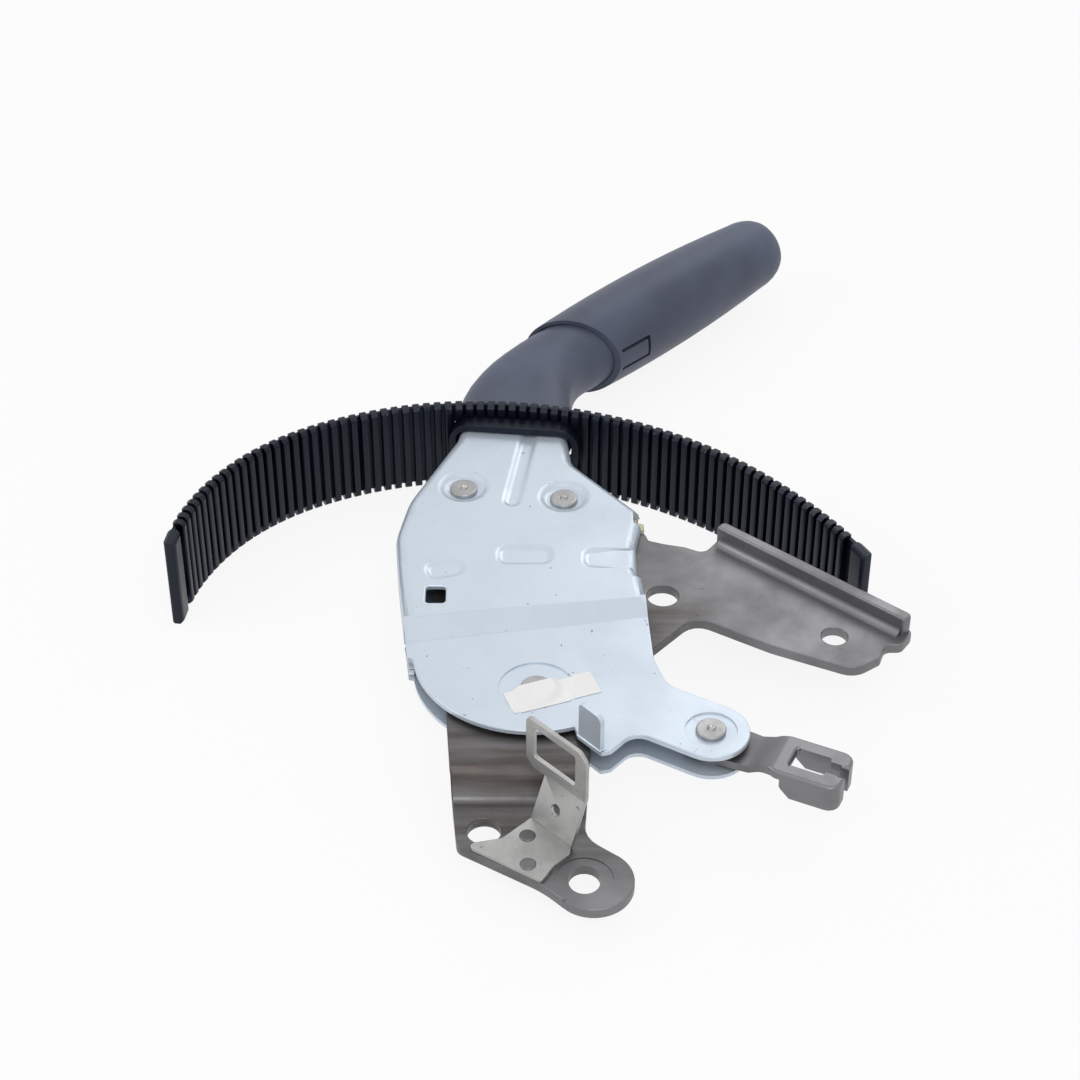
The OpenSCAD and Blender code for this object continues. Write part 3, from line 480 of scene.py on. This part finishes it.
def press_shell(piece):
    """Even out the shell's face, then slope the sides of its beads as a press tool leaves them."""
    side = 1 if piece.name.startswith("upper") else -1
    bpy.ops.object.mode_set(mode="EDIT")
    pick(piece, "VERT", lambda corner: abs(side * corner.co.z - shell_top) < same_height)
    bpy.ops.transform.resize(value=(1, 1, 0), center_override=(0, 0, side * shell_top))
    bpy.ops.mesh.select_all(action="SELECT")
    bpy.ops.mesh.remove_doubles(threshold=shell_weld)

    def is_bead_floor(face):
        """Large flat faces at the depth of the beads."""
        at_floor = abs(side * face.calc_center_median().z - bead_floor) < same_height
        return at_floor and side * face.normal.z > facing_out and face.calc_area() > bead_area

    pick(piece, "FACE", is_bead_floor)
    bpy.ops.mesh.inset(thickness=bead_slope)
    edit = bmesh.from_edit_mesh(piece.data)
    edit.verts.index_update()
    rims = {
        corner.index for corner in edit.verts
        if abs(side * corner.co.z - bead_floor) < same_height and corner.co.x < bead_right
        and not corner.select and any(other.select for face in corner.link_faces for other in face.verts)
    }
    pick(piece, "VERT", lambda corner: corner.index in rims)
    bpy.ops.transform.translate(value=(0, 0, side * (shell_top - bead_floor)))
    bpy.ops.mesh.select_all(action="SELECT")
    bpy.ops.mesh.remove_doubles(threshold=shell_weld)
    bpy.ops.object.mode_set(mode="OBJECT")


shell_rounds = [
    (2.2 * mm, 5, on_joggle), (0.85 * mm, 4, on_dish), (0.7 * mm, 3, on_bead), (0.5 * mm, 3, on_cut_edge),
]
upper_shell = finished(
    "upper_shell", "lever", zinc, pressed=press_shell, rounds=shell_rounds
)
finished("lower_shell", "lever", zinc, pressed=press_shell, rounds=shell_rounds)

# Rivets, sleeves and washers: headed and turned from plated wire. The rivets hold the shells at
# their distance over the sleeves, and each head has a centre mark where the riveting tool spun.
wire_colour = (0.38, 0.38, 0.385, 1)
wire_stain = (0.22, 0.22, 0.225, 1)
headed = sheet_metal("headed_wire", wire_colour, wire_stain, 0.9, 0.30, cloud=160.0)
for rivet_node in ("pivot_rivet", "neck_rivets", "link_rivet"):
    finished(rivet_node, "lever", headed, 0.25 * mm, sharp=40)
for turned_node in ("neck_sleeves", "link_washers", "pivot_washers"):
    coat(turned_node, headed)

# Pawl: blanked from the same plate as the bracket and hardened. It swings on the sleeve of the
# right body rivet and drops into the teeth on the bracket's rim.
finished("pawl", "pawl", rolled_plate, 0.3 * mm)

# Cable link: pressed from rolled plate, with a flat eye on the link rivet and a boxed head that
# takes the cable's nipple.
link_top = 5 * mm
nipple_window = (-12 * mm, -66 * mm)
window_reach = 7 * mm


def on_link_back(edge, middle):
    """Outer edges of the boxed head's top, which are bent and not cut."""
    return abs(middle.z - link_top) < same_height and not near(middle, nipple_window, window_reach)


finished(
    "cable_link", "link", rolled_plate, 0.3 * mm, rounds=[(1.3 * mm, 4, on_link_back)]
)

# Slot cover and its collar: one strip of black rubber with ribs moulded across it, so that it
# bends as it slides under the console with the lever. The collar holds it to the lever's neck.
rubber_colour = (0.003, 0.004, 0.009, 1)
rubber_worn = (0.006, 0.008, 0.016, 1)
cool_shine = (0.72, 0.80, 1.0, 1)
white_shine = (1, 1, 1, 1)
grain_strength = 0.12
grain_depth = 0.15 * mm


def moulded_grain():
    """Node group: the fine grain of a moulded surface, with a slow change of shade where it is worn."""
    group, into, out = effect_group("moulded_grain", {
        "Colour": (0.03, 0.03, 0.03, 1),
        "Worn": (0.06, 0.06, 0.06, 1),
        "Grain Scale": 2200.0,
        "Worn Scale": 60.0,
        "Roughness": 0.5,
    })
    nodes, links = group.nodes, group.links
    place = nodes.new("ShaderNodeTexCoord")
    worn = nodes.new("ShaderNodeTexNoise")
    worn.inputs["Detail"].default_value = 5
    links.new(place.outputs["Object"], worn.inputs["Vector"])
    links.new(into.outputs["Worn Scale"], worn.inputs["Scale"])
    spread = nodes.new("ShaderNodeMapRange")
    spread.inputs["From Min"].default_value = 0.4
    spread.inputs["From Max"].default_value = 0.75
    links.new(worn.outputs["Fac"], spread.inputs["Value"])
    tint = nodes.new("ShaderNodeMix")
    tint.data_type = "RGBA"
    links.new(spread.outputs["Result"], tint.inputs["Factor"])
    links.new(into.outputs["Colour"], tint.inputs["A"])
    links.new(into.outputs["Worn"], tint.inputs["B"])
    links.new(tint.outputs["Result"], out.inputs["Colour"])
    rough = nodes.new("ShaderNodeMath")
    rough.operation = "MULTIPLY_ADD"
    rough.inputs[1].default_value = 0.12
    links.new(spread.outputs["Result"], rough.inputs[0])
    links.new(into.outputs["Roughness"], rough.inputs[2])
    links.new(rough.outputs[0], out.inputs["Roughness"])
    pebbles = nodes.new("ShaderNodeTexVoronoi")
    links.new(place.outputs["Object"], pebbles.inputs["Vector"])
    links.new(into.outputs["Grain Scale"], pebbles.inputs["Scale"])
    links.new(pebbles.outputs["Distance"], out.inputs["Height"])
    return group


grain = moulded_grain()


def moulding(
    name, colour, worn, roughness, grain_scale=2200.0, worn_scale=60.0, shine=0.5, glint=white_shine
):
    """Material of one moulded rubber or plastic: the grain group on a plain surface."""
    values = {
        "Colour": colour,
        "Worn": worn,
        "Grain Scale": grain_scale,
        "Worn Scale": worn_scale,
        "Roughness": roughness,
    }
    material = dressed_surface(name, grain, values, grain_strength, grain_depth)
    surface = material.node_tree.nodes["Principled BSDF"]
    surface.inputs["Specular IOR Level"].default_value = shine
    surface.inputs["Specular Tint"].default_value = glint
    return material


black_rubber = moulding("black_rubber", rubber_colour, rubber_worn, 0.34, shine=0.32, glint=cool_shine)
left_bar = (-230 * mm, 37 * mm)
right_bar = (11 * mm, 30 * mm)
bar_reach = 6 * mm
across_strip = 28 * mm


def on_end_bar(edge, middle):
    """Long corners of the thicker bar at each end of the strip."""
    at_end = near(middle, left_bar, bar_reach) or near(middle, right_bar, bar_reach)
    return at_end and edge.is_convex and edge.calc_length() > across_strip


def on_rib_crest(edge, middle):
    """Long outer edges of the ribs."""
    return edge.is_convex and edge.calc_length() > across_strip and turns(edge, 40)


finished(
    "slot_cover", "lever", black_rubber,
    rounds=[(1.6 * mm, 5, on_end_bar), (0.6 * mm, 3, on_rib_crest)]
)
finished("slot_collar", "lever", black_rubber, 0.8 * mm, segments=3)

# Neck cover and grip: moulded in dark grey plastic with a fine grain. The neck is one sleeve
# that the grip snaps over, held by the tongue in its mouth.
grip_colour = (0.056, 0.064, 0.094, 1)
grip_worn = (0.098, 0.113, 0.165, 1)
grey_plastic = moulding(
    "grained_plastic", grip_colour, grip_worn, 0.44, grain_scale=1500.0, worn_scale=26.0, glint=cool_shine
)
finished("neck_cover", "lever", grey_plastic)
finished("grip_sleeve", "lever", grey_plastic, 0.3 * mm)

# Release button, rod and spring: a smooth black plastic cap in the grip's end, which pushes the
# pawl out of the teeth through a wire rod. The spring is coiled from plated wire too.
button_colour = (0.022, 0.023, 0.026, 1)
button_worn = (0.03, 0.03, 0.034, 1)
button_plastic = moulding("button_plastic", button_colour, button_worn, 0.3)
finished("release_button", "button", button_plastic, 0.4 * mm)
for wire_node in ("release_rod", "button_spring"):
    coat(wire_node, headed)

# Stop buffer and spring seat: moulded in pale unfilled plastic, left its own colour. The buffer is
# pushed between the shells, and the seat sits inside the grip.
buffer_colour = (0.70, 0.68, 0.48, 1)
buffer_worn = (0.60, 0.57, 0.40, 1)
natural_plastic = moulding("natural_plastic", buffer_colour, buffer_worn, 0.5)
finished("stop_buffer", "lever", natural_plastic, 0.4 * mm)
coat("spring_seat", natural_plastic)

# Label: a blank slip of white paper, pressed down by hand over the pivot rivet, so that it takes
# the shape of the rivet's head and lies flat on the shell round it.
paper_colour = (0.86, 0.86, 0.86, 1)
paper_worn = (0.80, 0.80, 0.79, 1)
label_size = (31.2 * mm, 11.2 * mm)
label_middle = (-96.8 * mm, -32.0 * mm)
label_turn = math.radians(19.9)
label_squares = (62, 22)
drop_height = 20 * mm
glue_gap = 0.1 * mm
paper_thickness = 0.15 * mm
paper_crease = math.radians(40)
head_r = 5.9 * mm
lift_r = 9 * mm
lift_depth = 2 * mm
lift_middle = 5.35 * mm
bpy.ops.object.select_all(action="DESELECT")
bpy.ops.mesh.primitive_cone_add(
    vertices=64, radius1=lift_r, radius2=head_r, depth=lift_depth,
    location=(pivot[0], pivot[1], lift_middle)
)
rivet_former = bpy.context.object
bpy.ops.object.select_all(action="DESELECT")
bpy.ops.mesh.primitive_grid_add(
    x_subdivisions=label_squares[0], y_subdivisions=label_squares[1], size=1,
    location=(*label_middle, drop_height), rotation=(0, 0, label_turn)
)
label = bpy.context.object
label.name = "pivot_label"
label.scale = (*label_size, 1)
bpy.ops.object.transform_apply(location=True, rotation=True, scale=True)
modify(
    label, "SHRINKWRAP", wrap_method="PROJECT", use_project_z=True, use_negative_direction=True,
    use_positive_direction=False, target=upper_shell, auxiliary_target=rivet_former, offset=glue_gap
)
modify(label, "SMOOTH", factor=0.5, iterations=4)
modify(label, "SOLIDIFY", thickness=paper_thickness, offset=1)
bpy.ops.object.shade_smooth_by_angle(angle=paper_crease)
bpy.data.objects.remove(rivet_former)
label.data.materials.append(moulding("label_paper", paper_colour, paper_worn, 0.5, grain_scale=900.0))
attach(label, "lever")

# Floor: a plain white studio sheet, which stays white in the picture but keeps a soft shadow. It
# lies just under the lowest point of the part.
floor_size = 20.0
floor_middle = (-0.1, 0.05)
floor_gap = 0.2 * mm
floor_colour = (0.86, 0.86, 0.87, 1)
glow_share = 0.88


def either(nodes, links, first, second):
    """A node's output that is 1 where either of two outputs is."""
    highest = nodes.new("ShaderNodeMath")
    highest.operation = "MAXIMUM"
    links.new(first, highest.inputs[0])
    links.new(second, highest.inputs[1])
    return highest.outputs[0]


bpy.ops.object.select_all(action="DESELECT")
bpy.ops.mesh.primitive_plane_add(size=floor_size, location=(*floor_middle, cad_low[2] - floor_gap))
floor = bpy.context.object
floor.name = "floor"
sheet = bpy.data.materials.new("studio_sheet")
sheet.use_nodes = True
nodes, links = sheet.node_tree.nodes, sheet.node_tree.links
nodes["Principled BSDF"].inputs["Base Color"].default_value = floor_colour
nodes["Principled BSDF"].inputs["Roughness"].default_value = 0.9
glow = nodes.new("ShaderNodeEmission")
path = nodes.new("ShaderNodeLightPath")
portion = nodes.new("ShaderNodeMath")
portion.operation = "MULTIPLY"
portion.inputs[1].default_value = glow_share
seen = either(nodes, links, path.outputs["Is Camera Ray"], path.outputs["Is Glossy Ray"])
links.new(seen, portion.inputs[0])
blend = nodes.new("ShaderNodeMixShader")
links.new(portion.outputs[0], blend.inputs["Fac"])
links.new(nodes["Principled BSDF"].outputs["BSDF"], blend.inputs[1])
links.new(glow.outputs["Emission"], blend.inputs[2])
links.new(blend.outputs["Shader"], nodes["Material Output"].inputs["Surface"])
floor.data.materials.append(sheet)

# Light and camera: an even white surround with three soft lamps, in front, at the left and behind.
# The camera looks from the foot of the lever, at about forty degrees above the floor.
surround_light = 0.62
surround_seen = 1.0
lever_middle = (-0.1009, 0.0547, 0.0)
softboxes = (
    ("front_softbox", (0.1, -0.75, 0.9), 0.7, 3.5),
    ("side_softbox", (-1.0, -0.1, 0.7), 0.4, 2.2),
    ("rear_softbox", (0.4, 0.9, 0.8), 0.6, 1.8),
)
camera_height = math.radians(39.0)
camera_distance = 0.9
camera_lens = 83.3
camera_sensor = 36

world = bpy.data.worlds.new("studio")
bpy.context.scene.world = world
world.use_nodes = True
nodes, links = world.node_tree.nodes, world.node_tree.links
nodes["Background"].inputs["Color"].default_value = (1, 1, 1, 1)
path = nodes.new("ShaderNodeLightPath")
shown = either(nodes, links, path.outputs["Is Camera Ray"], path.outputs["Is Glossy Ray"])
through = either(nodes, links, shown, path.outputs["Is Transmission Ray"])
brightness = nodes.new("ShaderNodeMapRange")
brightness.inputs["To Min"].default_value = surround_light
brightness.inputs["To Max"].default_value = surround_seen
links.new(through, brightness.inputs["Value"])
links.new(brightness.outputs["Result"], nodes["Background"].inputs["Strength"])

for lamp_name, offset, size, power in softboxes:
    bpy.ops.object.light_add(type="AREA", location=[m + o for m, o in zip(lever_middle, offset)])
    lamp = bpy.context.object
    lamp.name = lamp_name
    lamp.data.size = size
    lamp.data.energy = power
    away = math.hypot(offset[0], offset[1])
    lamp.rotation_euler = (math.atan2(away, offset[2]), 0, math.atan2(offset[0], -offset[1]))

bpy.ops.object.camera_add(
    location=(
        lever_middle[0],
        lever_middle[1] - camera_distance * math.cos(camera_height),
        lever_middle[2] + camera_distance * math.sin(camera_height),
    ),
    rotation=(math.pi / 2 - camera_height, 0, 0),
)
camera = bpy.context.object
camera.data.sensor_width = camera_sensor
camera.data.lens = camera_lens
bpy.context.scene.camera = camera
bpy.context.scene.view_settings.view_transform = "Standard"
